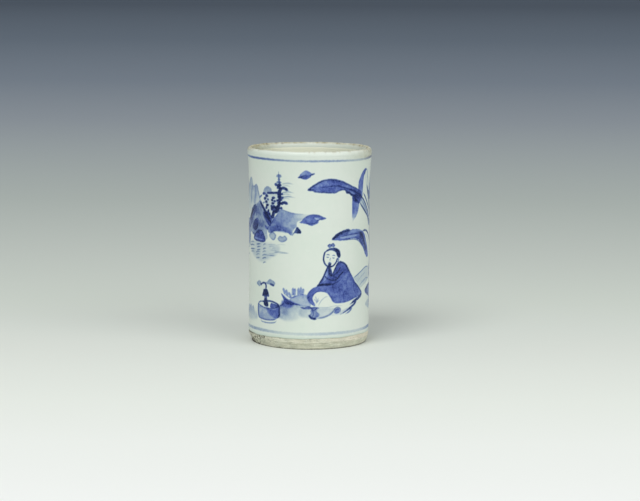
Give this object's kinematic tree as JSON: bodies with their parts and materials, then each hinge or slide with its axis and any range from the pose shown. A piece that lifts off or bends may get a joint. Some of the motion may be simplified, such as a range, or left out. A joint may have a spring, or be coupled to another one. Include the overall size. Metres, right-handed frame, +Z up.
{
  "type": "brush pot",
  "caption": "Small cylindrical porcelain brush pot with a slightly flared tan lip, a bare bevelled foot and an underglaze blue landscape round the outside.",
  "frame": {"origin": "centre of the foot, on the plane the pot stands on", "axes": "+Z up along the pot's axis, from the foot to the lip; -Y is the side the painted scholar faces, +X to that side's right"},
  "size_m": [0.082, 0.082, 0.129],
  "materials": {
    "biscuit": "bare fired porcelain, dry and matt, buff",
    "glaze": "clear glaze with a pale green-blue tint over white porcelain, glossy",
    "lip_dressing": "thin iron-brown dressing, worn to tan, satin"
  },
  "bodies": {
    "root": {"thrown_wall": "biscuit", "base_disc": "biscuit", "luting_ring": "biscuit", "outer_glaze": "glaze", "inner_glaze": "glaze", "lip_dressing": "lip_dressing"}
  },
  "joints": []
}
